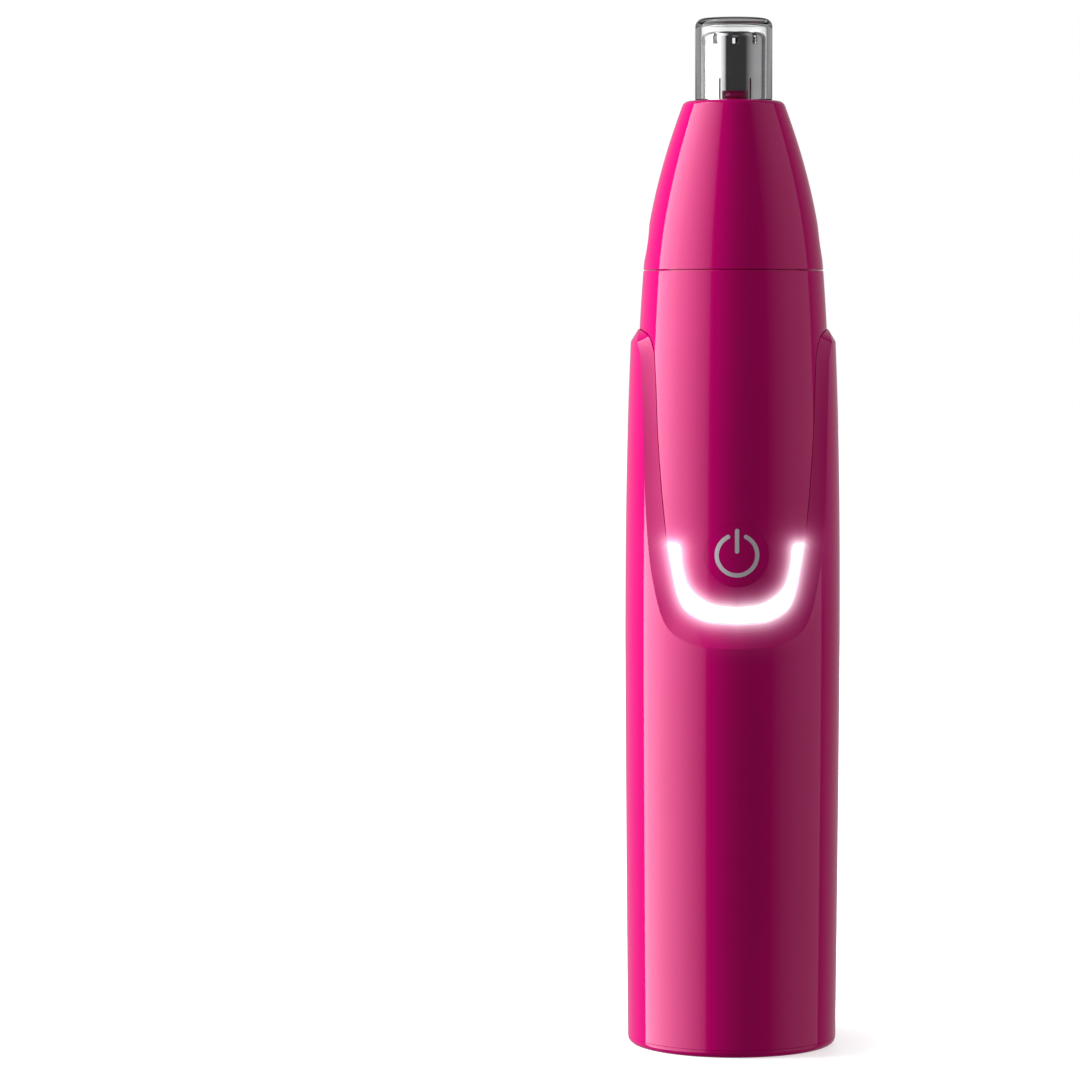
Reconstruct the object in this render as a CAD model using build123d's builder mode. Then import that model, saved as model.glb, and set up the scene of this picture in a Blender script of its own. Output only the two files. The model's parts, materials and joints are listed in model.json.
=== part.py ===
from build123d import *
import math
import os

os.makedirs("parts", exist_ok=True)

# Pocket nose hair trimmer, millimetres. The origin is the middle of the base, +Z runs up the
# handle to the cutting head, and the power button faces -Y.

# ---- driving dimensions: heights up the axis ----
CAP_TOP = 138.9            # top of the clear protective cap
GUARD_TOP = 137.0          # top of the slotted metal guard
HEAD_TOP = 127.8           # flat ring at the top of the head cover
SEAM = 105.0               # parting line between the head and the handle
SLEEVE_TOP = 97.2          # tips of the two ears of the outer sleeve
SLEEVE_BOTTOM = 1.1        # the base cap closes the sleeve here
BUTTON_Z = 67.2            # centre of the power button
WINDOW_BOTTOM = 58.0       # lowest point of the U shaped panel in the sleeve

# ---- driving dimensions: radii and walls ----
SLEEVE_R = 14.55           # widest radius of the sleeve, at BELLY_Z
BELLY_Z = 55.0
BODY_R = 13.3              # inner body, where the U shaped panel shows
BODY_TAPER_Z = 64.0        # the inner body narrows above this height
SEAM_R = 12.15             # radius at the parting line
PANEL_STEP = 0.4           # the visible panel stands this far out of the covered body
WALL = 1.2                 # moulded wall of the inner body
FIT = 0.05                 # radial gap between nested shells
CAP_R = 5.2
CAP_WALL = 0.75
GUARD_R = 4.3
GUARD_WALL = 0.4
NECK_R = 3.85              # plastic neck that carries the guard
SPIGOT_R = 10.55           # spigot of the head, inside the handle
SOCKET_R = 10.65
SPIGOT_BOTTOM = 100.0
SHAFT_R = 1.0
BUSH_GAP = 0.04            # running clearance of both shafts
BUTTON_R = 4.3
BUTTON_GAP = 0.05
MOTOR_R = 9.6
MOTOR_BOTTOM = 76.2
MOTOR_TOP = 96.0
CELL_R = 7.0
CELL_Y = 3.8
CELL_BOTTOM = 12.4
CELL_TOP = 61.4
BOARD_Y = -6.5             # middle of the circuit board
BOARD_T = 1.0
BASE_R = 14.12
FAR = 20.0                 # longer than any radius, for through cuts
FACET_Z = 95.5             # the ears of the sleeve slope inwards above this height
FACET_R = 12.82            # outer radius of the ears at their tips
SKIN_LOW = 55.0            # heights between which pieces are trimmed to the panel's surface
SKIN_HIGH = 80.0
LIGHT_TOP = 68.65          # both ends of the glowing U
LAMP_FRONT = -7.95         # front of the small lamps on the board
LAMPS = [(0, 59.1), (-7.9, 66.2), (7.9, 66.2)]
BASE_ALIGN = (Align.CENTER, Align.CENTER, Align.MIN)
HANG_ALIGN = (Align.CENTER, Align.CENTER, Align.MAX)


def sleeve_radius(z):
    """Outside radius of the sleeve: a slight barrel, widest at BELLY_Z."""
    if z > BELLY_Z:
        return SLEEVE_R - 0.68 * ((z - BELLY_Z) / 39.9) ** 2.5
    return SLEEVE_R - 0.41 * ((BELLY_Z - z) / 54.7) ** 1.3


def body_radius(z):
    """Outside radius of the inner body: straight, then narrowing to the seam."""
    if z < BODY_TAPER_Z:
        return BODY_R
    share = (z - BODY_TAPER_Z) / (SEAM - BODY_TAPER_Z)
    return BODY_R - (BODY_R - SEAM_R) * share ** 2.7


def heights(low, high, count):
    """Evenly spaced heights, both ends included."""
    return [low + (high - low) * step / (count - 1) for step in range(count)]


def on_front(x, z, radius):
    """The point at x and z on the front of a round shell of the given radius."""
    return Vector(x, -math.sqrt(max(radius * radius - x * x, 0.0)), z)


def save(builder, name):
    """Label a finished piece and write it."""
    builder.part.label = name
    export_step(builder.part, f"parts/{name}.step")


# Half outline of the U shaped opening in the sleeve, bottom to top: half width and height. The
# inner line is where the bevel meets the panel, the outer line where it leaves the sleeve.
INNER_HALF = [(0, 58.0), (4.54, 58.5), (7.2, 60.4), (8.76, 66.0), (9.64, 71.9),
              (10.6, 82.0), (11.1, 90.9), (11.6, 95.3), (12.6, 96.9), (13.6, 97.4)]
OUTER_HALF = [(0, 54.7), (5.6, 55.2), (9.2, 57.4), (11.1, 63.5), (11.95, 71.4),
              (12.15, 82.0), (12.3, 90.6), (12.75, 94.3), (13.45, 96.3), (14.1, 97.3)]


def panel_prism(shrink, low=-FAR, high=FAR):
    """Solid with the U shaped outline, drawn in by shrink, from y = low to y = high."""
    half = [(max(x - shrink, 0), z + (shrink if x < 8 else 0)) for x, z in INNER_HALF]
    with BuildPart(mode=Mode.PRIVATE) as prism:
        with BuildSketch(Plane.XZ.offset(-high)):
            with BuildLine():
                lower = Spline(*[(-x, z) for x, z in reversed(half[1:])], *half)
                Polyline(lower @ 1, (half[-1][0], SEAM + 5), (-half[-1][0], SEAM + 5), lower @ 0)
            make_face()
        extrude(amount=high - low)
    return prism.part


def bevel_face():
    """Ruled surface of the sloping band round the U, past both edges of the sleeve's wall."""
    outer_reach = 0.7
    inner_reach = 0.25
    facet_slope = (sleeve_radius(FACET_Z) - FACET_R) / (SLEEVE_TOP - FACET_Z)
    outer = []
    inner = []
    for (x_out, z_out), (x_in, z_in) in zip(OUTER_HALF, INNER_HALF):
        skin_r = sleeve_radius(z_out) - facet_slope * max(z_out - FACET_Z, 0)
        high = on_front(x_out, z_out, skin_r)
        low = on_front(x_in, z_in, body_radius(z_in))
        outer.append(high + (high - low) * outer_reach)
        inner.append(low + (low - high) * inner_reach)
    rails = []
    for rail in (outer, inner):
        left = [Vector(-point.X, point.Y, point.Z) for point in reversed(rail[1:])]
        rails.append(Edge.make_spline(left + rail))
    return Face.make_surface_from_curves(*rails)


# ---- handle: outer sleeve with its two ears ----
with BuildPart() as outer_sleeve:
    with BuildSketch(Plane.XZ):
        with BuildLine():
            skin = [(sleeve_radius(z), z) for z in heights(SLEEVE_BOTTOM, FACET_Z, 8)]
            side = Spline(*skin)
            facet = Line(side @ 1, (FACET_R, SLEEVE_TOP))
            lining = [(body_radius(z) - PANEL_STEP + FIT, z)
                      for z in heights(SLEEVE_TOP, BODY_TAPER_Z, 5)]
            tip = Line(facet @ 1, lining[0])
            inside = Spline(*lining)
            straight = Line(inside @ 1, (lining[-1][0], SLEEVE_BOTTOM))
            Line(straight @ 1, side @ 0)
        make_face()
    revolve(axis=Axis.Z)
    add(panel_prism(0), mode=Mode.SUBTRACT)
bevel = bevel_face()
sleeve_body = outer_sleeve.part.solids().sort_by(SortBy.VOLUME)[-1]
for tool in (bevel, bevel.mirror(Plane.XZ)):
    sleeve_body = ShapeList(sleeve_body.split(tool, keep=Keep.ALL)).sort_by(SortBy.VOLUME)[-1]
with BuildPart() as outer_sleeve:
    add(sleeve_body)
save(outer_sleeve, "outer_sleeve")


def rod(radius, low, high):
    """Plain round bar on the axis, as a loose solid."""
    return Pos(0, 0, low) * Cylinder(radius, high - low, align=BASE_ALIGN, mode=Mode.PRIVATE)


def tube(outer, inner, low, high):
    """Plain round ring on the axis, as a loose solid."""
    return rod(outer, low, high) - rod(inner, low, high)


def body_skin(step, low, high, offset=0.0):
    """Solid of revolution under the inner body's surface, sunk by step."""
    with BuildPart(mode=Mode.PRIVATE) as skin:
        with BuildSketch(Plane.XZ):
            with BuildLine():
                edge = Spline(*[(body_radius(z) - step + offset, z) for z in heights(low, high, 9)])
                Polyline(edge @ 1, (0, high), (0, low), edge @ 0)
            make_face()
        revolve(axis=Axis.Z)
    return skin.part


def band_prism(gap):
    """Solid with the outline of the glowing U, from the middle plane out through the front."""
    inner_half = [(0, 60.15 - gap), (3.6, 60.7 - gap), (6.2 + gap, 62.6 - gap), (7.2 + gap, 65.2),
                  (7.55 + gap, 69.5)]
    with BuildPart(mode=Mode.PRIVATE) as inner:
        with BuildSketch(Plane.XZ):
            with BuildLine():
                left = [(-x, z) for x, z in reversed(inner_half[1:])]
                lower = Spline(*left, *inner_half)
                Polyline(lower @ 1, (7.55 + gap, 80), (-7.55 - gap, 80), lower @ 0)
            make_face()
        extrude(amount=FAR)
    outer = panel_prism(gap, low=-FAR, high=0)
    below = Pos(0, -FAR / 2, LIGHT_TOP - gap) * Box(2 * FAR, FAR, FAR, align=HANG_ALIGN,
                                                      mode=Mode.PRIVATE)
    return (outer & below) - inner.part


# ---- handle: inner body, the tube that everything is built into ----
BODY_BOTTOM = 3.0
SHELF_Z = 98.3             # shoulder that stops the motor mount
with BuildPart() as inner_body:
    add(body_skin(PANEL_STEP, BODY_BOTTOM, SEAM))
    raised = body_skin(0, WINDOW_BOTTOM - 2, SEAM) & panel_prism(0.06)
    add(raised)
    add(body_skin(PANEL_STEP + WALL, BODY_BOTTOM - 1, SHELF_Z), mode=Mode.SUBTRACT)
    with Locations((0, 0, SHELF_Z - 1)):
        Cylinder(SOCKET_R, SEAM - SHELF_Z + 2, align=BASE_ALIGN, mode=Mode.SUBTRACT)
    add(band_prism(0), mode=Mode.SUBTRACT)
    with Locations(Plane.XZ.offset(MOTOR_R)):
        with Locations((0, BUTTON_Z)):
            Cylinder(BUTTON_R + BUTTON_GAP, FAR, align=BASE_ALIGN, mode=Mode.SUBTRACT)
save(inner_body, "inner_body")

# ---- handle: light guide of the glowing U, with three legs that reach the lamps ----
with BuildPart() as light_guide:
    add(band_prism(0.05))
    add(tube(BODY_R, BODY_R - PANEL_STEP - WALL, SKIN_LOW, SKIN_HIGH), mode=Mode.INTERSECT)
    for leg_x, leg_z in LAMPS:
        leg_root = -math.sqrt((BODY_R - 0.8) ** 2 - leg_x ** 2)
        with Locations((leg_x, (leg_root + LAMP_FRONT) / 2, leg_z)):
            Box(1.0, LAMP_FRONT - leg_root, 1.4)
save(light_guide, "light_guide")

# ---- handle: power button, its symbol, its seal and the switch plunger ----
ICON_R = 2.69              # middle of the symbol's ring
ICON_STROKE = 0.56
ICON_GAP = 26              # half angle left open at the top of the ring, degrees
ICON_DEPTH = 0.2
BAR_RISE = 1.85            # the bar's middle above the button's middle
BAR_LENGTH = 3.3
with BuildPart() as power_icon:
    gap_x = ICON_R * math.sin(math.radians(ICON_GAP))
    gap_z = ICON_R * math.cos(math.radians(ICON_GAP))
    with BuildSketch(Plane.XZ):
        with Locations((0, BUTTON_Z)):
            Circle(ICON_R + ICON_STROKE / 2)
            Circle(ICON_R - ICON_STROKE / 2, mode=Mode.SUBTRACT)
        with BuildLine():
            Polyline((0, BUTTON_Z), (2 * gap_x, BUTTON_Z + 2 * gap_z),
                     (-2 * gap_x, BUTTON_Z + 2 * gap_z), (0, BUTTON_Z))
        make_face(mode=Mode.SUBTRACT)
        with Locations((gap_x, BUTTON_Z + gap_z), (-gap_x, BUTTON_Z + gap_z)):
            Circle(ICON_STROKE / 2)
        with Locations((0, BUTTON_Z + BAR_RISE)):
            SlotOverall(BAR_LENGTH, ICON_STROKE, rotation=90)
    extrude(amount=FAR)
    add(body_skin(ICON_DEPTH, SKIN_LOW, SKIN_HIGH), mode=Mode.SUBTRACT)
    add(body_skin(0, SKIN_LOW, SKIN_HIGH), mode=Mode.INTERSECT)
save(power_icon, "power_icon")

BUTTON_BACK = -9.6
BUTTON_RIM = 0.9           # flange behind the panel that keeps the button in
BUTTON_RIM_T = 0.7
with BuildPart() as power_button:
    with Locations(Plane.XZ.offset(-BUTTON_BACK)):
        with Locations((0, BUTTON_Z)):
            Cylinder(BUTTON_R, FAR, align=BASE_ALIGN)
    add(body_skin(0, SKIN_LOW, SKIN_HIGH), mode=Mode.INTERSECT)
    with Locations(Plane.XZ.offset(-BUTTON_BACK)):
        with Locations((0, BUTTON_Z)):
            Cylinder(BUTTON_R + BUTTON_RIM, BUTTON_RIM_T, align=BASE_ALIGN)
    add(power_icon.part, mode=Mode.SUBTRACT)
save(power_button, "power_button")

with BuildPart() as button_seal:
    with Locations(Plane.XZ.offset(8.8)):
        with Locations((0, BUTTON_Z)):
            Cylinder(6.3, FAR, align=BASE_ALIGN)
            Cylinder(BUTTON_R + 1.15, FAR, align=BASE_ALIGN, mode=Mode.SUBTRACT)
    add(body_skin(PANEL_STEP + WALL + 0.02, SKIN_LOW, SKIN_HIGH), mode=Mode.INTERSECT)
    add(light_guide.part, mode=Mode.SUBTRACT)
save(button_seal, "button_seal")


def hexagon(flats, low, high):
    """Hexagonal prism on the axis, given across its flats."""
    with BuildPart(mode=Mode.PRIVATE) as prism:
        with BuildSketch(Plane.XY.offset(low)):
            RegularPolygon(flats / 2, 6, major_radius=False)
        extrude(amount=high - low)
    return prism.part


# ---- handle: base cap, its seal, its screws and the charging socket ----
BASE_SCREW_X = 8.6
BASE_SCREW_Y = 2.6
SCREW_R = 0.95
SOCKET_Y = -4.2            # charging socket, off the axis towards the board
SOCKET_W = 8.94
SOCKET_H = 3.26
with BuildPart() as base_cap:
    with BuildSketch(Plane.XZ):
        with BuildLine():
            step_r = BODY_R - PANEL_STEP
            Polyline((0, 0), (BASE_R, 0), (BASE_R, SLEEVE_BOTTOM), (step_r, SLEEVE_BOTTOM),
                     (step_r, BODY_BOTTOM - 0.02), (11.6, BODY_BOTTOM - 0.02), (11.6, 3.8),
                     (11.1, 3.8), (11.1, 4.9), (11.6, 4.9), (11.6, 5.6), (0, 5.6), (0, 0))
        make_face()
    revolve(axis=Axis.Z)
    fillet(base_cap.edges().filter_by(GeomType.CIRCLE).group_by(Axis.Z)[0], 0.9)
    with BuildSketch(Plane.XY):
        with Locations((0, SOCKET_Y)):
            SlotOverall(SOCKET_W + 0.3, SOCKET_H + 0.3)
    extrude(amount=6, mode=Mode.SUBTRACT)
    with Locations(Location((BASE_SCREW_X, BASE_SCREW_Y, 0), (180, 0, 0)),
                   Location((-BASE_SCREW_X, BASE_SCREW_Y, 0), (180, 0, 0))):
        CounterSinkHole(SCREW_R + 0.1, 2.15, depth=6)
save(base_cap, "base_cap")

with BuildPart() as base_seal:
    with BuildSketch(Plane.XZ):
        with Locations((11.4, 4.35)):
            Circle(0.26)
    revolve(axis=Axis.Z)
save(base_seal, "base_seal")

with BuildPart() as base_screws:
    for screw_x in (BASE_SCREW_X, -BASE_SCREW_X):
        with Locations((screw_x, BASE_SCREW_Y, 0.35)):
            Cone(1.75, SCREW_R, 0.85, align=BASE_ALIGN)
        with Locations((screw_x, BASE_SCREW_Y, 1.1)):
            Cylinder(SCREW_R, 8.4, align=BASE_ALIGN)
        with Locations((screw_x, BASE_SCREW_Y, 0.35)):
            Box(2.2, 0.4, 0.45, align=BASE_ALIGN, mode=Mode.SUBTRACT)
            Box(0.4, 2.2, 0.45, align=BASE_ALIGN, mode=Mode.SUBTRACT)
save(base_screws, "base_screws")

with BuildPart() as usb_socket:
    with BuildSketch(Plane.XY.offset(0.7)):
        with Locations((0, SOCKET_Y)):
            SlotOverall(SOCKET_W, SOCKET_H)
    extrude(amount=6.8)
    with BuildSketch(Plane.XY.offset(0.7)):
        with Locations((0, SOCKET_Y)):
            SlotOverall(SOCKET_W - 0.6, SOCKET_H - 0.6)
    extrude(amount=5.6, mode=Mode.SUBTRACT)
    with Locations((0, SOCKET_Y, 1.5)):
        Box(6.7, 0.7, 5, align=BASE_ALIGN)
save(usb_socket, "usb_socket")

# ---- handle: chassis that carries the cell, the board and the lower end of the motor ----
BOARD_FACE = BOARD_Y - BOARD_T / 2
BOARD_REAR = BOARD_Y + BOARD_T / 2
BOARD_SCREWS = [(-6.9, 16.0), (6.9, 16.0), (-6.9, 54.0), (6.9, 54.0)]
BOARD_SCREW_R = 0.8
THREAD_DEPTH = 3.0         # of the board's screws in the posts
CHASSIS_R = 11.4
POST_HEIGHT = 4.0
with BuildPart() as chassis:
    with Locations((0, 0, 7.8)):
        Cylinder(CHASSIS_R, 2.4, align=BASE_ALIGN)
    with Locations((0, 0, 66.5)):
        Cylinder(CHASSIS_R, 2.0, align=BASE_ALIGN)
    for rail_x in (-9.3, 9.3):
        with Locations((rail_x, 1.8, 9)):
            Box(2.4, 5.6, 58.5, align=BASE_ALIGN)
    with Locations((0, -FAR / 2 - 5.2, 40)):
        Box(2 * FAR, FAR, 80, mode=Mode.SUBTRACT)
    for post_x, post_z in BOARD_SCREWS:
        outwards = math.copysign(1, post_x)
        with Locations((post_x + 0.25 * outwards, BOARD_REAR + 2.5, post_z)):
            Box(2.9, 4.96, POST_HEIGHT)
        with Locations((post_x + 1.4 * outwards, -0.5, post_z)):
            Box(2.4, 2.0, POST_HEIGHT)
    with Locations(Plane.XZ.offset(-BOARD_REAR - THREAD_DEPTH - 0.2)):
        with Locations(*BOARD_SCREWS):
            Cylinder(BOARD_SCREW_R + 0.02, FAR, align=BASE_ALIGN, mode=Mode.SUBTRACT)
    with Locations((0, CELL_Y, 9)):
        Cylinder(CELL_R + 0.15, 57, align=BASE_ALIGN, mode=Mode.SUBTRACT)
    with Locations((0, SOCKET_Y, 6)):
        Box(SOCKET_W + 1.2, 5.2, 6, align=BASE_ALIGN, mode=Mode.SUBTRACT)
    with Locations((BASE_SCREW_X, BASE_SCREW_Y, 7), (-BASE_SCREW_X, BASE_SCREW_Y, 7)):
        Cylinder(SCREW_R, 2.6, align=BASE_ALIGN, mode=Mode.SUBTRACT)
    with Locations((5.0, -1.0, 66), (-5.0, -1.0, 66)):
        Cylinder(1.4, 3, align=BASE_ALIGN, mode=Mode.SUBTRACT)
save(chassis, "chassis")

# ---- handle: battery cell with its welded tabs ----
with BuildPart() as battery_cell:
    with Locations((0, CELL_Y, CELL_BOTTOM)):
        Cylinder(CELL_R, CELL_TOP - CELL_BOTTOM, align=BASE_ALIGN)
    fillet(battery_cell.edges().filter_by(GeomType.CIRCLE), 0.5)
    with Locations((0, CELL_Y, CELL_TOP)):
        Cylinder(2.8, 0.9, align=BASE_ALIGN)
save(battery_cell, "battery_cell")

with BuildPart() as battery_tabs:
    with Locations((0, CELL_Y - 3.0, CELL_TOP + 0.9), (0, CELL_Y - 3.0, CELL_BOTTOM - 0.2)):
        Box(4.0, 9.0, 0.2, align=BASE_ALIGN)
save(battery_tabs, "battery_tabs")

# ---- handle: circuit board with its switch, lamps, chips and screws ----
BOARD_BOTTOM = 7.6
BOARD_TOP = 71.5
with BuildPart() as circuit_board:
    with BuildSketch(Plane.XZ.offset(-BOARD_REAR)):
        with Locations((0, (BOARD_BOTTOM + BOARD_TOP) / 2)):
            RectangleRounded(17.6, BOARD_TOP - BOARD_BOTTOM, 0.8)
        with Locations(*BOARD_SCREWS):
            Circle(BOARD_SCREW_R + 0.05, mode=Mode.SUBTRACT)
    extrude(amount=BOARD_T)
save(circuit_board, "circuit_board")

with BuildPart() as board_chips:
    for chip_x, chip_z, chip_w, chip_h, chip_t in (
            (0, 30, 5.0, 5.0, 0.9), (-5.2, 41, 3.0, 2.8, 1.1), (4.4, 44, 4.4, 4.0, 1.8),
            (5.4, 22, 2.6, 1.5, 0.8), (-4.6, 22, 2.6, 1.5, 0.8), (0, 50, 3.2, 1.7, 1.0)):
        with Locations((chip_x, BOARD_FACE - chip_t / 2, chip_z)):
            Box(chip_w, chip_t, chip_h)
save(board_chips, "board_chips")

with BuildPart() as ring_lamps:
    for lamp_x, lamp_z in LAMPS:
        with Locations((lamp_x, (BOARD_FACE + LAMP_FRONT) / 2 + 0.05, lamp_z)):
            Box(1.0, BOARD_FACE - LAMP_FRONT - 0.1, 1.8)
save(ring_lamps, "ring_lamps")

with BuildPart() as board_screws:
    with Locations(Plane.XZ.offset(-BOARD_FACE)):
        with Locations(*BOARD_SCREWS):
            Cylinder(1.5, 0.8, align=BASE_ALIGN)
    with Locations(Plane.XZ.offset(-BOARD_REAR - THREAD_DEPTH)):
        with Locations(*BOARD_SCREWS):
            Cylinder(BOARD_SCREW_R, BOARD_T + THREAD_DEPTH, align=BASE_ALIGN)
save(board_screws, "board_screws")

with BuildPart() as tact_switch:
    with Locations((0, BOARD_FACE - 1.0, BUTTON_Z)):
        Box(6.0, 2.0, 6.0)
    with Locations(Plane.XZ.offset(7.9)):
        with Locations((0, BUTTON_Z)):
            Cylinder(1.0, 3, align=BASE_ALIGN, mode=Mode.SUBTRACT)
save(tact_switch, "tact_switch")

with BuildPart() as switch_plunger:
    with Locations(Plane.XZ.offset(8.35)):
        with Locations((0, BUTTON_Z)):
            Cylinder(0.92, -BUTTON_BACK - 8.35, align=BASE_ALIGN)
save(switch_plunger, "switch_plunger")

# ---- drive: motor, fixed parts ----
CAN_WALL = 0.7
BOSS_R = 3.0
with BuildPart() as motor_can:
    with Locations((0, 0, MOTOR_BOTTOM)):
        Cylinder(MOTOR_R, MOTOR_TOP - MOTOR_BOTTOM, align=BASE_ALIGN)
    fillet(motor_can.edges().filter_by(GeomType.CIRCLE).group_by(Axis.Z)[-1], 0.8)
    with Locations((0, 0, MOTOR_TOP)):
        Cylinder(BOSS_R, 1.3, align=BASE_ALIGN)
    with Locations((0, 0, MOTOR_BOTTOM)):
        Cylinder(MOTOR_R - CAN_WALL, MOTOR_TOP - MOTOR_BOTTOM - CAN_WALL, align=BASE_ALIGN,
                 mode=Mode.SUBTRACT)
        Cylinder(BOSS_R - CAN_WALL, 30, align=BASE_ALIGN, mode=Mode.SUBTRACT)
    with Locations((6.5, 0, MOTOR_TOP), (-6.5, 0, MOTOR_TOP)):
        Cylinder(0.8, 4, mode=Mode.SUBTRACT)
save(motor_can, "motor_can")

with BuildPart() as motor_end_bell:
    with Locations((0, 0, MOTOR_BOTTOM - 2.2)):
        Cylinder(MOTOR_R, 2.2, align=BASE_ALIGN)
        Cylinder(MOTOR_R - CAN_WALL - 0.03, 3.2, align=BASE_ALIGN)
        Cylinder(MOTOR_R - CAN_WALL - 1.6, 3.3, align=BASE_ALIGN, mode=Mode.SUBTRACT)
    with Locations((0, 0, MOTOR_BOTTOM - 2.2)):
        Cylinder(MOTOR_R - 1.8, 1.0, align=BASE_ALIGN)
        Cylinder(2.3, 3.0, align=BASE_ALIGN)
        Cylinder(SHAFT_R + BUSH_GAP, 4.0, align=BASE_ALIGN, mode=Mode.SUBTRACT)
save(motor_end_bell, "motor_end_bell")

with BuildPart() as motor_magnets:
    add(tube(MOTOR_R - CAN_WALL - 0.03, 7.1, 78.5, 94.0))
    with Locations((0, 0, 86)):
        Box(5, 2 * FAR, 30, mode=Mode.SUBTRACT)
save(motor_magnets, "motor_magnets")

with BuildPart() as motor_bush:
    add(tube(BOSS_R - CAN_WALL, SHAFT_R + BUSH_GAP, 94.6, MOTOR_TOP + 1.3))
save(motor_bush, "motor_bush")

with BuildPart() as motor_brushes:
    with Locations((0, 2.75, 78.2), (0, -2.75, 78.2)):
        Box(1.6, 1.2, 1.2)
    with Locations((0, 5.6, 78.2), (0, -5.6, 78.2)):
        Box(1.2, 4.5, 0.4)
save(motor_brushes, "motor_brushes")

# ---- drive: motor mount plate, its screws, its shaft seal ----
with BuildPart() as motor_mount:
    with Locations((0, 0, MOTOR_TOP)):
        Cylinder(10.95, SHELF_Z - MOTOR_TOP, align=BASE_ALIGN)
    with Locations((0, 0, MOTOR_TOP)):
        Cylinder(BOSS_R + 0.02, 1.32, align=BASE_ALIGN, mode=Mode.SUBTRACT)
        Cylinder(2.3, 5, align=BASE_ALIGN, mode=Mode.SUBTRACT)
    with Locations((6.5, 0, SHELF_Z), (-6.5, 0, SHELF_Z)):
        CounterBoreHole(0.85, 1.6, 1.0, depth=4)
save(motor_mount, "motor_mount")

with BuildPart() as motor_screws:
    for screw_x in (6.5, -6.5):
        with Locations((screw_x, 0, SHELF_Z - 0.95)):
            Cylinder(1.5, 0.8, align=BASE_ALIGN)
        with Locations((screw_x, 0, MOTOR_TOP - 1.2)):
            Cylinder(0.78, 2.6, align=BASE_ALIGN)
save(motor_screws, "motor_screws")

with BuildPart() as shaft_seal:
    add(tube(2.28, SHAFT_R + 0.06, MOTOR_TOP + 1.34, SHELF_Z))
save(shaft_seal, "shaft_seal")

# ---- drive: turning parts of the motor ----
COUPLER_Z = 98.9
with BuildPart() as motor_shaft:
    add(rod(SHAFT_R, 74.4, 103.2))
save(motor_shaft, "motor_shaft")

with BuildPart() as armature_core:
    with BuildSketch(Plane.XY.offset(80)):
        Circle(6.8)
        with PolarLocations(6.4, 3, start_angle=30):
            Rectangle(2.4, 1.0, mode=Mode.SUBTRACT)
        with PolarLocations(3.9, 3, start_angle=30):
            Circle(1.7, mode=Mode.SUBTRACT)
        Circle(SHAFT_R, mode=Mode.SUBTRACT)
    extrude(amount=12)
save(armature_core, "armature_core")

with BuildPart() as armature_windings:
    with BuildSketch(Plane.XY.offset(79)):
        with PolarLocations(3.9, 3, start_angle=30):
            Circle(1.68)
    extrude(amount=14)
save(armature_windings, "armature_windings")

with BuildPart() as commutator:
    add(tube(2.1, SHAFT_R, 77.3, 79.6))
save(commutator, "commutator")

with BuildPart() as drive_coupler:
    add(tube(2.6, SHAFT_R, COUPLER_Z, 100.4))
    add(hexagon(3.2, 100.4, 104.0))
    add(rod(SHAFT_R, 90, 103.2), mode=Mode.SUBTRACT)
save(drive_coupler, "drive_coupler")

# ---- head: cover with its neck, spigot and two grip dimples ----
NECK_TOP = 131.2
BUSH_R = 2.58
with BuildPart() as head_cover:
    with BuildSketch(Plane.XZ):
        with BuildLine():
            Polyline((8.6, SPIGOT_BOTTOM), (SPIGOT_R, SPIGOT_BOTTOM), (SPIGOT_R, 101.6),
                     (9.5, 101.6), (9.5, 102.9), (SPIGOT_R, 102.9), (SPIGOT_R, SEAM + 0.06),
                     (SEAM_R, SEAM + 0.06))
            ogive = Spline((SEAM_R, SEAM + 0.06), (11.5, 110.4), (10.4, 115.9), (8.91, 121.3),
                           (7.25, 126.3))
            rim = Spline(ogive @ 1, (6.7, 127.4), (5.7, HEAD_TOP), tangents=[ogive % 1, (-1, 0)])
            Polyline(rim @ 1, (NECK_R, HEAD_TOP), (NECK_R, NECK_TOP), (BUSH_R, NECK_TOP),
                     (BUSH_R, 124.8), (6.0, 124.8))
            Spline((6.0, 124.8), (7.5, 121.3), (9.0, 115.9), (10.05, 110.4), (10.5, 106.0))
            Polyline((10.5, 106.0), (8.6, 104.3), (8.6, SPIGOT_BOTTOM))
        make_face()
    revolve(axis=Axis.Z)
    with Locations((17.9, 0, 109.6), (-17.9, 0, 109.6)):
        Sphere(6.8, mode=Mode.SUBTRACT)
    catch = Pos(0, -4, 128.15) * Box(2.8, 1.6, 0.75, align=BASE_ALIGN, mode=Mode.PRIVATE)
    add(catch & rod(4.15, 128, 130))
save(head_cover, "head_cover")

with BuildPart() as head_seal:
    with BuildSketch(Plane.XZ):
        with Locations((10.07, 102.25)):
            Circle(0.54)
    revolve(axis=Axis.Z)
save(head_seal, "head_seal")

with BuildPart() as head_bush:
    add(tube(BUSH_R - 0.01, SHAFT_R + BUSH_GAP, 123.4, 131.5))
    add(tube(4.2, SHAFT_R + BUSH_GAP, 123.4, 124.78))
save(head_bush, "head_bush")

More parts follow.
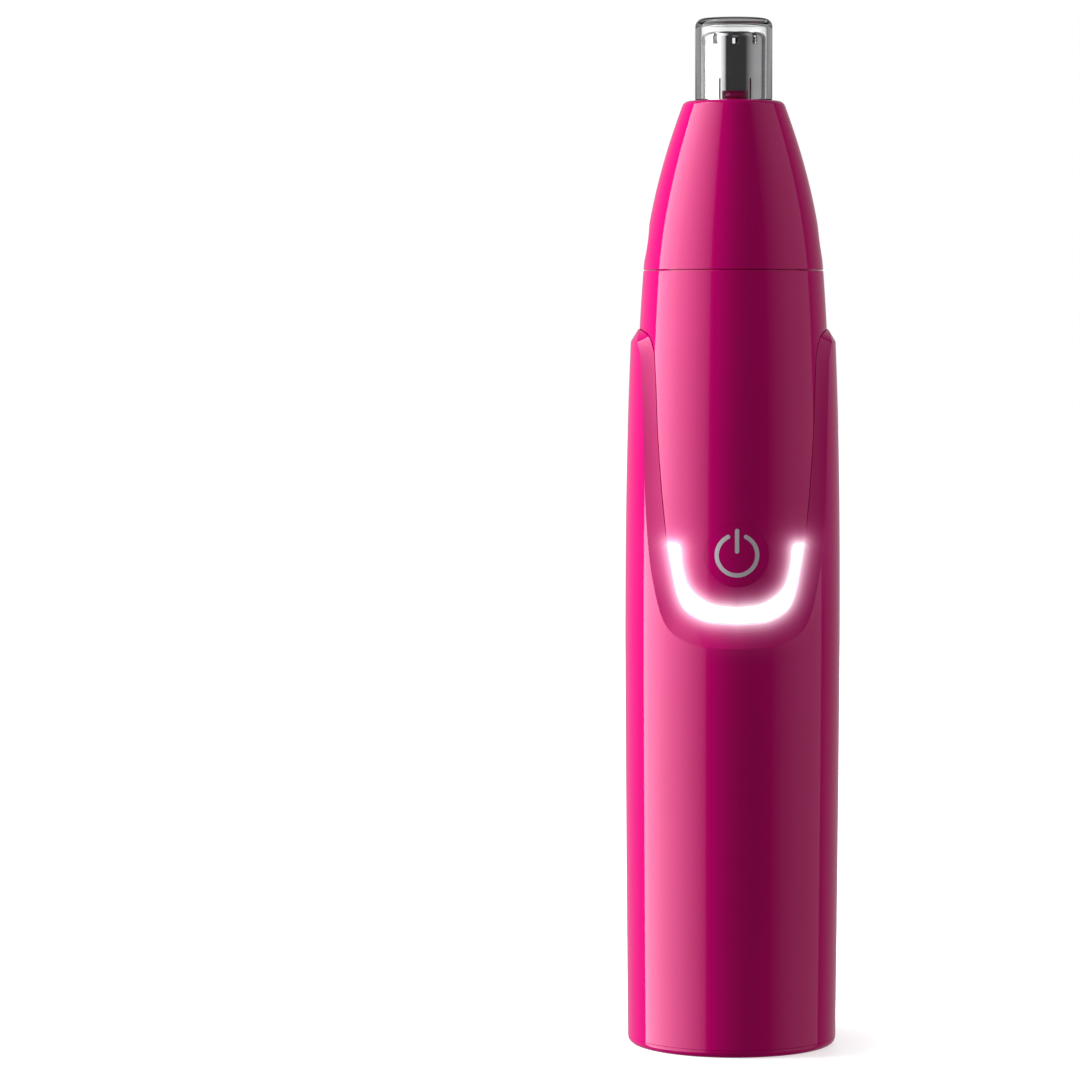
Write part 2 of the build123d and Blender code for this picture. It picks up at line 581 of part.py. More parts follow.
# ---- head: slotted metal guard ----
SLOTS = 10
SLOT_W = 0.75
with BuildPart() as cutter_guard:
    with Locations((0, 0, HEAD_TOP + 0.03)):
        Cylinder(GUARD_R, GUARD_TOP - HEAD_TOP - 0.03, align=BASE_ALIGN)
    fillet(cutter_guard.edges().filter_by(GeomType.CIRCLE).group_by(Axis.Z)[-1], 0.9)
    with Locations((0, 0, HEAD_TOP)):
        Cylinder(GUARD_R - GUARD_WALL, GUARD_TOP - HEAD_TOP - 0.5, align=BASE_ALIGN,
                 mode=Mode.SUBTRACT)
    with Locations((0, 0, GUARD_TOP)):
        Cylinder(1.7, 4, mode=Mode.SUBTRACT)
    with PolarLocations(3.7, SLOTS, start_angle=-90):
        with Locations((0, 0, 136.9)):
            Box(2.4, SLOT_W, 3.2, mode=Mode.SUBTRACT)
    with Locations((0, -4.2, HEAD_TOP)):
        Box(3.3, 1.4, 1.25, align=BASE_ALIGN, mode=Mode.SUBTRACT)
    with Locations((-1.95, -4.2, HEAD_TOP), (1.95, -4.2, HEAD_TOP)):
        Box(0.25, 1.8, 2.9, align=BASE_ALIGN, mode=Mode.SUBTRACT)
save(cutter_guard, "cutter_guard")

# ---- head: turning parts ----
BLADE_R = GUARD_R - GUARD_WALL - 0.08
BLADE_TOP = GUARD_TOP - 0.65
with BuildPart() as rotary_blade:
    with BuildSketch(Plane.XZ):
        with BuildLine():
            Polyline((-BLADE_R, 132.6), (-1.9, 131.9), (1.9, 131.9), (BLADE_R, 132.6),
                     (BLADE_R, BLADE_TOP - 0.5), (BLADE_R - 0.5, BLADE_TOP), (2.3, BLADE_TOP),
                     (1.7, 133.9), (-1.7, 133.9), (-2.3, BLADE_TOP), (0.5 - BLADE_R, BLADE_TOP),
                     (-BLADE_R, BLADE_TOP - 0.5), (-BLADE_R, 132.6))
        make_face()
    extrude(amount=0.25, both=True)
save(rotary_blade, "rotary_blade")

with BuildPart() as blade_carrier:
    add(tube(2.2, SHAFT_R, 131.7, 133.5))
    add(rotary_blade.part, mode=Mode.SUBTRACT)
save(blade_carrier, "blade_carrier")

DRIVE_SOCKET_TOP = 108.2
with BuildPart() as blade_shaft:
    add(rod(SHAFT_R, 106.0, 133.7))
    add(rotary_blade.part, mode=Mode.SUBTRACT)
save(blade_shaft, "blade_shaft")

with BuildPart() as drive_socket:
    add(rod(3.6, 100.7, DRIVE_SOCKET_TOP))
    add(hexagon(3.8, 100, 105.2), mode=Mode.SUBTRACT)
    add(rod(SHAFT_R, 106.0, 116.0), mode=Mode.SUBTRACT)
save(drive_socket, "drive_socket")

SPRING_R = 1.75
SPRING_WIRE = 0.22
SPRING_BOTTOM = DRIVE_SOCKET_TOP + 0.25
SPRING_TOP = 119.2
with BuildPart() as blade_spring:
    with BuildLine():
        Helix(1.8, SPRING_TOP - SPRING_BOTTOM - 0.25, SPRING_R, center=(0, 0, SPRING_BOTTOM))
    with BuildSketch(Plane(origin=(SPRING_R, 0, SPRING_BOTTOM), z_dir=(0, 1, 0.16))):
        Circle(SPRING_WIRE)
    sweep(is_frenet=True)
save(blade_spring, "blade_spring")

with BuildPart() as spring_collar:
    add(tube(2.4, SHAFT_R, SPRING_TOP, 120.2))
save(spring_collar, "spring_collar")

# ---- clear protective cap ----
with BuildPart() as clear_cap:
    with Locations((0, 0, HEAD_TOP + 0.05)):
        Cylinder(CAP_R, CAP_TOP - HEAD_TOP - 0.05, align=BASE_ALIGN)
    fillet(clear_cap.edges().filter_by(GeomType.CIRCLE).group_by(Axis.Z)[-1], 1.1)
    with Locations((0, 0, HEAD_TOP)):
        Cylinder(CAP_R - CAP_WALL, CAP_TOP - HEAD_TOP - 0.9, align=BASE_ALIGN, mode=Mode.SUBTRACT)
save(clear_cap, "clear_cap")
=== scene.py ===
import json
import math

import bmesh
import bpy
from mathutils import Matrix, Vector

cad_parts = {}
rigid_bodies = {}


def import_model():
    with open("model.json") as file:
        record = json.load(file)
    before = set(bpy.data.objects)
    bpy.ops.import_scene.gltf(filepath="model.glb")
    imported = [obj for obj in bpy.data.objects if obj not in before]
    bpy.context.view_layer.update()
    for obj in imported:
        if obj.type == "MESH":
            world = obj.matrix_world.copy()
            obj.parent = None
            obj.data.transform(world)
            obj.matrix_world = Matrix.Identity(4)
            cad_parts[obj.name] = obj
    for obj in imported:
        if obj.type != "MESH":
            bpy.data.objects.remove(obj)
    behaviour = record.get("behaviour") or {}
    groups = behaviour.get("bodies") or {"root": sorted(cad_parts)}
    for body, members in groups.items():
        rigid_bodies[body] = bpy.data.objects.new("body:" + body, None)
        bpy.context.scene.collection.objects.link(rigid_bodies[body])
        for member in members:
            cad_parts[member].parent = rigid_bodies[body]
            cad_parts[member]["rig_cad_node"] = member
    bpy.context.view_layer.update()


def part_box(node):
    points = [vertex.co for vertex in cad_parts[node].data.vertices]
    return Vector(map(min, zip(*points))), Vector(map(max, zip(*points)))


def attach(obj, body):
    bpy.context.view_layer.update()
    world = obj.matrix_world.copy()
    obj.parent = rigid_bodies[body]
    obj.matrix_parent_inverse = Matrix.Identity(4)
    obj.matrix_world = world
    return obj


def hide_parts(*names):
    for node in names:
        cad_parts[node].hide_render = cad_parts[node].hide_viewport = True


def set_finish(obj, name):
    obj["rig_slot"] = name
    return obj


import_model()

# Pocket nose hair trimmer. Lengths in this script are millimetres until a mesh is made.
MM = 0.001


def top_of(node):
    """Height of a CAD node's highest point."""
    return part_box(node)[1].z / MM


def foot_of(node):
    """Height of a CAD node's lowest point."""
    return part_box(node)[0].z / MM


def radius_of(node):
    """Half the width of a round CAD node."""
    low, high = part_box(node)
    return (high.x - low.x) / 2 / MM


# ---- places and sizes, from the frame ----
SEAM = top_of("inner_body")
SLEEVE_TOP = top_of("outer_sleeve")
SLEEVE_FOOT = foot_of("outer_sleeve")
SLEEVE_R = radius_of("outer_sleeve")
HEAD_FOOT = foot_of("head_cover")
NECK_TOP = top_of("head_cover")
GUARD_TOP = top_of("cutter_guard")
GUARD_FOOT = foot_of("cutter_guard")
GUARD_R = radius_of("cutter_guard")
CAP_TOP = top_of("clear_cap")
CAP_FOOT = foot_of("clear_cap")
CAP_R = radius_of("clear_cap")
BODY_R = -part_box("inner_body")[0].y / MM
BODY_FOOT = foot_of("inner_body")
SEAM_R = radius_of("head_cover")
BASE_R = radius_of("base_cap")
BUTTON_Z = (top_of("power_button") + foot_of("power_button")) / 2
LIGHT_TOP = top_of("light_guide")
HEAD_TOP = GUARD_FOOT - 0.03
FACET_Z = SLEEVE_TOP - 1.7       # the ears slope inwards above this height

FACET_DROP = 1.02                # how far in the ears lean from there to their tips
BELLY_Z = 55.0                   # the sleeve is widest here
TAPER_Z = 64.0                   # the inner body narrows above this height
PANEL_STEP = 0.4                 # the panel stands this far out of the covered body
WALL = 1.2                       # moulded wall of the inner body
FIT = 0.05                       # radial gap between the sleeve and the body
LIGHT_GAP = 0.12                 # rim of the panel outside the light
SKIN_LIFT = 0.004                # keeps the light's face just clear of the panel's skin
BEYOND = -30                     # cutters start this far in front, past every surface
NEAR = -1                        # and end here, short of the middle
NOTHING = 1e-6                   # shorter lengths count as none
LATHE_TURNS = 256


# ---- surfaces of revolution, as formulas ----
def sleeve_radius(z):
    """Outside of the sleeve: a slight barrel, with the ears' sloping facet at the top."""
    if z > FACET_Z:
        lean = FACET_DROP * (z - FACET_Z) / (SLEEVE_TOP - FACET_Z)
        return sleeve_radius(FACET_Z) - lean
    if z > BELLY_Z:
        narrowing, run, power = 0.68, 39.9, 2.5
    else:
        narrowing, run, power = 0.41, 54.7, 1.3
    return SLEEVE_R - narrowing * (abs(z - BELLY_Z) / run) ** power


def body_radius(z):
    """Outside of the inner body where it shows."""
    power = 2.7
    if z < TAPER_Z:
        return BODY_R
    return BODY_R - (BODY_R - SEAM_R) * ((z - TAPER_Z) / (SEAM - TAPER_Z)) ** power


def slope(radius, z):
    """How fast a radius formula changes with height."""
    step = 0.01
    return (radius(z + step) - radius(z - step)) / (2 * step)


def skin_normal(radius, x, y, z):
    """Outward normal of the surface of revolution at a point."""
    return Vector((x, y, -math.hypot(x, y) * slope(radius, z))).normalized()


# ---- curves ----
def smooth_line(points, steps):
    """Centripetal Catmull-Rom curve through the points, sampled between each pair."""
    pts = [Vector(p) for p in points]
    pts = [2 * pts[0] - pts[1]] + pts + [2 * pts[-1] - pts[-2]]
    line = []
    for a, b, c, d in zip(pts, pts[1:], pts[2:], pts[3:]):
        t1 = max((b - a).length, NOTHING) ** 0.5
        t2 = t1 + max((c - b).length, NOTHING) ** 0.5
        t3 = t2 + max((d - c).length, NOTHING) ** 0.5
        for step in range(steps):
            t = t1 + (t2 - t1) * step / steps
            a1 = a * ((t1 - t) / t1) + b * (t / t1)
            a2 = b * ((t2 - t) / (t2 - t1)) + c * ((t - t1) / (t2 - t1))
            a3 = c * ((t3 - t) / (t3 - t2)) + d * ((t - t2) / (t3 - t2))
            b1 = a1 * ((t2 - t) / t2) + a2 * (t / t2)
            b2 = a2 * ((t3 - t) / (t3 - t1)) + a3 * ((t - t1) / (t3 - t1))
            line.append(b1 * ((t2 - t) / (t2 - t1)) + b2 * ((t - t1) / (t2 - t1)))
    line.append(pts[-2])
    return line


def spread(low, high, count):
    """Evenly spaced values, both ends included."""
    return [low + (high - low) * k / (count - 1) for k in range(count)]


def rounded(corners, steps=6):
    """Polyline of (r, z, fillet) corners with each fillet drawn as an arc."""
    out = []
    count = len(corners)
    for i, (r, z, fillet) in enumerate(corners):
        here = Vector((r, z))
        if fillet <= 0 or i in (0, count - 1):
            out.append(here)
            continue
        before = Vector(corners[i - 1][:2]) - here
        after = Vector(corners[i + 1][:2]) - here
        turn = before.angle(after)
        reach = fillet / math.tan(turn / 2)
        start = here + before.normalized() * reach
        end = here + after.normalized() * reach
        middle = here + (before.normalized() + after.normalized()).normalized() * (
            fillet / math.sin(turn / 2))
        for step in range(steps + 1):
            mix = start.lerp(end, step / steps) - middle
            out.append(middle + mix.normalized() * fillet)
    return out


# ---- meshes ----
def clean(mesh):
    """Joins the points that coincide and turns the faces outwards."""
    work = bmesh.new()
    work.from_mesh(mesh)
    bmesh.ops.remove_doubles(work, verts=work.verts, dist=1e-7)
    bmesh.ops.recalc_face_normals(work, faces=work.faces)
    work.to_mesh(mesh)
    work.free()


def linked(name, data):
    """Object for a mesh, lamp or camera, in the scene."""
    thing = bpy.data.objects.new(name, data)
    bpy.context.scene.collection.objects.link(thing)
    return thing


def metres(name, verts, faces):
    """Mesh from millimetre vertices."""
    mesh = bpy.data.meshes.new(name)
    mesh.from_pydata([Vector(v) * MM for v in verts], [], faces)
    return mesh


def make_piece(name, verts, faces, body, slot, *nodes):
    """New piece from millimetre vertices, riding on a body and standing for CAD nodes."""
    return adopt(name, metres(name, verts, faces), body, slot, *nodes)


def adopt(name, mesh, body, slot, *nodes):
    """Cleans a mesh and links it as a piece."""
    clean(mesh)
    mesh.shade_smooth()
    piece = linked(name, mesh)
    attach(piece, body)
    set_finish(piece, slot)
    if nodes:
        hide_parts(*nodes)
    return piece


def lathe(profile, turns=LATHE_TURNS, closed=True):
    """Vertices and faces of a profile [(r, z), ...] turned round the axis."""
    verts = []
    rings = []
    for r, z in profile:
        if r < NOTHING:
            rings.append([len(verts)])
            verts.append((0, 0, z))
            continue
        rings.append(list(range(len(verts), len(verts) + turns)))
        for k in range(turns):
            angle = 2 * math.pi * k / turns
            verts.append((r * math.sin(angle), -r * math.cos(angle), z))
    faces = []
    pairs = list(zip(rings, rings[1:]))
    if closed:
        pairs.append((rings[-1], rings[0]))
    for low, high in pairs:
        if len(low) == 1 and len(high) == 1:
            continue
        for k in range(turns):
            n = (k + 1) % turns
            if len(low) == 1:
                faces.append((low[0], high[k], high[n]))
            elif len(high) == 1:
                faces.append((low[k], high[0], low[n]))
            else:
                faces.append((low[k], low[n], high[n], high[k]))
    return verts, faces


# Loose solids are helpers for the boolean cuts, and are gone when the cut is made.
def loose(verts, faces):
    """Loose solid from millimetre vertices."""
    mesh = metres("cutter", verts, faces)
    clean(mesh)
    return linked("cutter", mesh)


def loose_from(work):
    """Loose solid from a bmesh in metres."""
    mesh = bpy.data.meshes.new("cutter")
    work.to_mesh(mesh)
    work.free()
    return linked("cutter", mesh)


def between(first, second):
    """Loose solid between two copies of a closed outline."""
    count = len(first)
    faces = [tuple(range(count)), tuple(reversed(range(count, 2 * count)))]
    for k in range(count):
        n = (k + 1) % count
        faces.append((k, k + count, n + count, n))
    return loose(first + second, faces)


def prism(outline, low=BEYOND, high=NEAR):
    """Loose solid: a closed (x, z) outline pushed from y = low to y = high."""
    return between([(x, low, z) for x, z in outline], [(x, high, z) for x, z in outline])


def upright(outline, low, high):
    """Loose solid: a closed (x, y) outline pushed from z = low to z = high."""
    return between([(x, y, low) for x, y in outline], [(x, y, high) for x, y in outline])


def disc_prism(radius, z, turns=128):
    """Loose round bar along Y."""
    return prism([(radius * math.cos(2 * math.pi * k / turns),
                   z + radius * math.sin(2 * math.pi * k / turns)) for k in range(turns)])


def block(size, place, turn=0.0):
    """Loose box of the given size, moved to place and then turned about the axis."""
    work = bmesh.new()
    bmesh.ops.create_cube(work, size=1.0)
    shift = Matrix.Rotation(turn, 4, "Z") @ Matrix.Translation(Vector(place) * MM)
    bmesh.ops.transform(work, matrix=shift @ Matrix.Diagonal((*[s * MM for s in size], 1)),
                        verts=work.verts)
    return loose_from(work)


def ball(radius, place):
    """Loose sphere with its poles on a line along X."""
    work = bmesh.new()
    bmesh.ops.create_uvsphere(work, u_segments=128, v_segments=96, radius=radius * MM)
    bmesh.ops.transform(work, matrix=Matrix.Translation(Vector(place) * MM)
                        @ Matrix.Rotation(math.pi / 2, 4, "Y"), verts=work.verts)
    return loose_from(work)


def carve(target, cutters, operation="DIFFERENCE"):
    """Cuts loose solids out of a loose solid, uses them all up and returns the new mesh."""
    for cutter in cutters:
        tool = target.modifiers.new("cut", "BOOLEAN")
        tool.operation = operation
        tool.solver = "EXACT"
        tool.object = cutter
    bpy.context.view_layer.update()
    graph = bpy.context.evaluated_depsgraph_get()
    mesh = bpy.data.meshes.new_from_object(target.evaluated_get(graph))
    for helper in [target, *cutters]:
        bpy.data.objects.remove(helper)
    return mesh


def true_normals(piece, radius, limit=0.02, crease=35):
    """Exact shading normals on a surface of revolution, smooth ones with creases elsewhere."""
    mesh = piece.data
    sharp = math.cos(math.radians(crease))
    around_vertex = [[] for _ in mesh.vertices]
    for face in mesh.polygons:
        for i in face.vertices:
            around_vertex[i].append(face)
    normals = []
    for face in mesh.polygons:
        corners = [mesh.vertices[i].co / MM for i in face.vertices]
        on_skin = all(abs(math.hypot(c.x, c.y) - radius(c.z)) < limit for c in corners)
        middle = face.center / MM
        outward = face.normal.dot(skin_normal(radius, middle.x, middle.y, middle.z)) > 0.7
        for i, corner in zip(face.vertices, corners):
            if on_skin and outward:
                normals.append(skin_normal(radius, corner.x, corner.y, corner.z))
                continue
            blend = Vector()
            for other in around_vertex[i]:
                if face.normal.dot(other.normal) > sharp:
                    blend += other.normal * min(other.area / MM ** 2, 1.0)
            normals.append(blend.normalized() if blend.length > 1e-9 else face.normal.copy())
    mesh.normals_split_custom_set(normals)


# ---- outlines shared by the sleeve, the panel and the light ----
# Half of the sleeve's opening, from the middle of its foot to the tip of an ear, as degrees
# round from the front and height. OUTER is where the bevel leaves the sleeve, INNER where it
# meets the panel.
OUTER = [(0, 54.7), (22.6, 55.2), (39.2, 57.4), (49.7, 63.5), (55.5, 71.4), (59.2, 82.0),
         (63.0, 90.2), (66.3, 93.8), (72.0, 95.5), (80.5, 96.6), (90.0, SLEEVE_TOP - 0.05)]
INNER = [(0, 58.0), (20.0, 58.5), (32.8, 60.4), (41.0, 66.0), (45.6, 71.9), (51.4, 82.0),
         (55.2, 90.5), (58.4, 94.3), (65.0, 96.2), (77.0, 96.95), (90.0, SLEEVE_TOP)]
# The inner edge of the light, half width and height.
LIGHT_INNER = [(0, 60.15), (3.6, 60.7), (6.2, 62.6), (7.2, 65.2), (7.55, LIGHT_TOP + 1)]
ARC = math.radians(1) * 14.0     # millimetres along the skin for one degree


def around(outline, steps):
    """Smooth samples of an outline given in degrees and height."""
    line = smooth_line([(turn * ARC, z) for turn, z in outline], steps)
    return [(p[0] / ARC, p[1]) for p in line]


def moved_out(line, gap):
    """A sampled outline moved away from the panel by a small gap."""
    moved = []
    for k, (turn, z) in enumerate(line):
        before = line[max(k - 1, 0)]
        after = line[min(k + 1, len(line) - 1)]
        run = Vector(((after[0] - before[0]) * ARC, after[1] - before[1])).normalized()
        moved.append((turn + gap * run.y / ARC, z - gap * run.x))
    moved[0] = (line[0][0], line[0][1] - gap)
    moved[-1] = line[-1]
    return moved


def at(turn, z, radius):
    """Point on a round skin, turned from the front."""
    angle = math.radians(turn)
    return Vector((radius * math.sin(angle), -radius * math.cos(angle), z))


def facing(outline, radius, shrink=0.0):
    """An outline in degrees and height as (x, z) points seen from the front, both halves."""
    line = [(radius(z) * math.sin(math.radians(turn)), z) for turn, z in around(outline, 8)]
    pulled = []
    for k, (x, z) in enumerate(line):
        before = Vector(line[max(k - 1, 0)])
        after = Vector(line[min(k + 1, len(line) - 1)])
        run = (after - before).normalized()
        pulled.append((max(x - shrink * run.y, 0.0), z + shrink * run.x))
    return pulled


# ---- outer sleeve ----
BEVEL_DISH = 0.06                # how hollow the sloping band is
EDGE = 0.09                      # soft edge either side of each crease
SHADOW_GAP = 0.13                # fine dark line between the bevel and the panel
VALLEY_RISE = 0.03               # the bevel ends this little above the panel


def quarters(columns, closed, caps=0):
    """Mesh of the front right quarter's columns of points and its three mirror images."""
    verts = []
    faces = []
    height = len(columns[0])
    for side in (1, -1):
        for front in (1, -1):
            start = len(verts)
            for column in columns:
                verts.extend(Vector((side * p.x, front * p.y, p.z)) for p in column)
            for k in range(len(columns) - 1):
                for step in range(height if closed else height - 1):
                    a = start + k * height
                    n = (step + 1) % height
                    faces.append((a + step, a + height + step, a + height + n, a + n))
                if k < caps:
                    a = start + k * height
                    faces.append((a, a + height - 1, a + 2 * height - 1, a + height))
    return verts, faces


def sleeve_piece():
    """Sleeve as strips that run from its outer edges up to the U, then down the bevel."""
    outer = around(OUTER, 9)
    inner = moved_out(around(INNER, 9), SHADOW_GAP)
    count = len(outer)
    corner = min(range(count), key=lambda k: abs(outer[k][0] - 45))    # the foot's last strip
    skin_steps = 34
    lining_steps = 8
    level_z = 80.0               # above it the strips run level to the ear's middle
    band = [0.1, 0.2, 0.35, 0.5, 0.65, 0.8, 0.9, 1.0]
    columns = []
    for k in range(count):
        turn, z = outer[k]
        if k <= corner:
            edge = (90.0 * k / corner, SLEEVE_FOOT)
        elif z < level_z:
            share = (z - outer[corner][1]) / (level_z - outer[corner][1])
            edge = (90.0, SLEEVE_FOOT + (level_z - SLEEVE_FOOT) * share)
        else:
            edge = (90.0, z)
        column = []
        for step in range(skin_steps):
            share = (step / skin_steps) ** 0.8
            t = edge[0] + (turn - edge[0]) * share
            h = edge[1] + (z - edge[1]) * share
            column.append(at(t, h, sleeve_radius(h)))
        crest = at(turn, z, sleeve_radius(z))
        low_turn, low_z = inner[k]
        valley = at(low_turn, low_z, body_radius(low_z) + VALLEY_RISE)
        last = column[-1]
        column.append(crest.lerp(last, min(EDGE / max((last - crest).length, NOTHING), 0.5)))
        column.append(crest)
        span = (valley - crest).length
        for share in [min(EDGE / max(span, 0.3), 0.09)] + band:
            spot = crest.lerp(valley, share)
            inward = Vector((spot.x, spot.y, 0)).normalized()
            dish = BEVEL_DISH * 4 * share * (1 - share) * min(span / 3.0, 1.0)
            column.append(spot - inward * dish)
        for share in spread(0.0, 1.0, lining_steps + 1):
            t = low_turn + (edge[0] - low_turn) * share
            h = low_z + (edge[1] - low_z) * share
            column.append(at(t, h, body_radius(h) - PANEL_STEP + FIT))
        columns.append(column)
    verts, faces = quarters(columns, False, corner)
    piece = make_piece("sleeve_shell", verts, faces, "handle", "magenta_plastic", "outer_sleeve")
    true_normals(piece, sleeve_radius)
    return piece


# ---- inner body, with the panel inside the U ----
SHELF_Z = 98.3                   # floor of the socket that takes the head's spigot
SOCKET_R = 10.65
BUTTON_R = 4.3
BUTTON_GAP = 0.02


def body_piece():
    """Tube with the raised panel, the slot for the light and the hole for the button."""
    inner = around(INNER, 9)
    count = len(inner)
    mouth = rounded([(SEAM_R, SEAM - 0.5, 0), (SEAM_R, SEAM, 0.16), (SOCKET_R, SEAM, 0.25),
                     (SOCKET_R, SHELF_Z, 0)])
    rim_z = SEAM - 0.2           # the rounded rim starts here
    tuck = 0.08                  # the panel's edge is drawn this far up from the outline
    columns = []
    for k, (turn, z) in enumerate(inner):
        edge = 90.0 * k / (count - 1)
        column = []
        for step in spread(0.0, 1.0, 60):
            share = 1 - (1 - step) ** 1.8      # closer together next to the light
            t = edge + (turn - edge) * share
            h = rim_z + (z + tuck - rim_z) * share
            column.append(at(t, h, body_radius(h)))
        column.append(at(turn, z + 0.03, body_radius(z) - 0.05))
        for share in spread(0.0, 1.0, 24):
            t = turn + (edge - turn) * share
            h = z + (BODY_FOOT - z) * share
            column.append(at(t, h, body_radius(h) - PANEL_STEP))
        for h in (BODY_FOOT, 40.0, 64.0, 75.0, 85.0, SHELF_Z):
            column.append(at(edge, h, body_radius(h) - PANEL_STEP - WALL))
        column.extend(at(edge, h, r) for r, h in reversed(mouth[1:]))
        columns.append(column)
    hole = disc_prism(BUTTON_R + BUTTON_GAP, BUTTON_Z)
    mesh = carve(loose(*quarters(columns, True)), [prism(light_outline(0.0)), hole])
    piece = adopt("body_shell", mesh, "handle", "magenta_plastic", "inner_body")
    true_normals(piece, body_radius)
    return piece


def light_outline(gap):
    """Closed (x, z) outline of the glowing U."""
    sides_top = LIGHT_TOP - 0.4  # the curves stop here and the cut off corners of the ends follow
    outer = [(x, z) for x, z in facing(INNER, body_radius, LIGHT_GAP + gap) if z < sides_top]
    inner = [(p[0] + gap, p[1] - gap) for p in smooth_line(LIGHT_INNER, 8) if p[1] < sides_top]
    top = LIGHT_TOP - gap
    outer_x = outer[-1][0] + 0.12
    inner_x = inner[-1][0] + 0.1
    tips = [(outer_x, top - 0.2), (outer_x - 0.12, top), (inner_x + 0.45, top),
            (inner_x + 0.12, top - 0.15)]
    half = outer + tips + list(reversed(inner))
    right = [(x, z) for x, z in half if x > NOTHING]
    return [(0, outer[0][1])] + right + [(0, inner[0][1])] + [(-x, z) for x, z in reversed(right)]


def light_piece():
    """Glowing U, flush with the panel."""
    low, high = 55.0, 72.0       # the ring reaches past both ends of the light
    back_r = BODY_R - 1.5
    ring = loose(*lathe([(body_radius(z) + SKIN_LIFT, z) for z in spread(low, high, 60)]
                        + [(back_r, high), (back_r, low)]))
    mesh = carve(ring, [prism(light_outline(0.02))], "INTERSECT")
    piece = adopt("light_band", mesh, "handle", "light_plastic", "light_guide")
    true_normals(piece, lambda z: body_radius(z) + SKIN_LIFT)
    return piece


# ---- button and its symbol ----
def plate(front, back, ring=False):
    """Vertices and faces between two grids of points. The rows of a ring end where they start."""
    rows = len(front)
    width = len(front[0])
    verts = [point for row in front + back for point in row]
    behind = rows * width
    faces = []
    for j in range(rows - 1):
        for k in range(width - 1):
            a = j * width + k
            faces.append((a, a + 1, a + width + 1, a + width))
            a += behind
            faces.append((a, a + width, a + width + 1, a + 1))
    for k in range(width - 1):
        if not ring:
            faces.append((k, behind + k, behind + k + 1, k + 1))
        a = (rows - 1) * width + k
        faces.append((a, a + 1, behind + a + 1, behind + a))
    for j in range(0 if ring else rows - 1):
        a = j * width
        faces.append((a, a + width, behind + a + width, behind + a))
        a += width - 1
        faces.append((a, behind + a, behind + a + width, a + width))
    return verts, faces


def patch(name, rows, lift, depth, slot, node, ring=False):
    """Plate from rows of (x, z) points, bent onto the panel's skin."""
    def bent(x, z, sunk):
        return (x, sunk - math.sqrt((body_radius(z) + lift) ** 2 - x * x), z)

    front = [[bent(x, z, 0.0) for x, z in row] for row in rows]
    back = [[bent(x, z, depth) for x, z in row] for row in rows]
    piece = make_piece(name, *plate(front, back, ring), "button", slot, node)
    true_normals(piece, lambda z: body_radius(z) + lift)
    return piece


def button_piece():
    """Round button whose face carries on the skin of the panel."""
    turns = 128
    rows = []
    for r in spread(0.0, BUTTON_R, 15):
        rows.append([(r * math.cos(2 * math.pi * k / turns),
                      BUTTON_Z + r * math.sin(2 * math.pi * k / turns))
                     for k in range(turns + 1)])
    return patch("button_cap", rows, 0.0, 1.6, "magenta_plastic", "power_button", ring=True)


ICON_R = 2.69
ICON_STROKE = 0.56
ICON_GAP = 26                    # half angle left open at the top of the ring, degrees
ICON_LIFT = 0.02
ICON_DEPTH = 0.1
BAR_FOOT = 0.48                  # ends of the bar, above the button's middle
BAR_TOP = 3.22


def stroke(path, width):
    """Rows of (x, z) points for a stroke with round ends along a path."""
    half = width / 2
    first = (Vector(path[1]) - Vector(path[0])).normalized()
    last = (Vector(path[-1]) - Vector(path[-2])).normalized()
    line = []
    for share in spread(-1.0, -0.1, 8):
        reach = half * math.sin(math.acos(-share))
        line.append((Vector(path[0]) + first * half * share, first, reach))
    for k, point in enumerate(path):
        run = (Vector(path[min(k + 1, len(path) - 1)]) - Vector(path[max(k - 1, 0)])).normalized()
        line.append((Vector(point), run, half))
    for share in spread(0.1, 1.0, 8):
        reach = half * math.sin(math.acos(share))
        line.append((Vector(path[-1]) + last * half * share, last, reach))
    rows = []
    for spot, run, reach in line:
        across = Vector((-run.y, run.x))
        rows.append([tuple(spot + across * reach * side) for side in (-1, -0.5, 0, 0.5, 1)])
    return rows


def symbol_pieces():
    """Grey power symbol: an open ring and a bar."""
    ring = []
    for turn in spread(90 + ICON_GAP, 450 - ICON_GAP, 90):
        ring.append((ICON_R * math.cos(math.radians(turn)),
                     BUTTON_Z + ICON_R * math.sin(math.radians(turn))))
    bar = [(0.0, BUTTON_Z + z) for z in spread(BAR_FOOT, BAR_TOP, 8)]
    for name, path in (("symbol_ring", ring), ("symbol_bar", bar)):
        patch(name, stroke(path, ICON_STROKE), ICON_LIFT, ICON_DEPTH, "icon_grey", "power_icon")


# ---- head ----
HEAD_BEND = 126.3                # the taper ends here and the rounded shoulder starts
SHOULDER_SLOPE = 0.3635
NECK_R = 3.85


def head_radius(z):
    """Outside of the tapered head, a cubic from the seam to the bend."""
    t = (z - SEAM) / (HEAD_BEND - SEAM)
    return SEAM_R - 1.675 * t - 3.604 * t * t + 0.38 * t ** 3


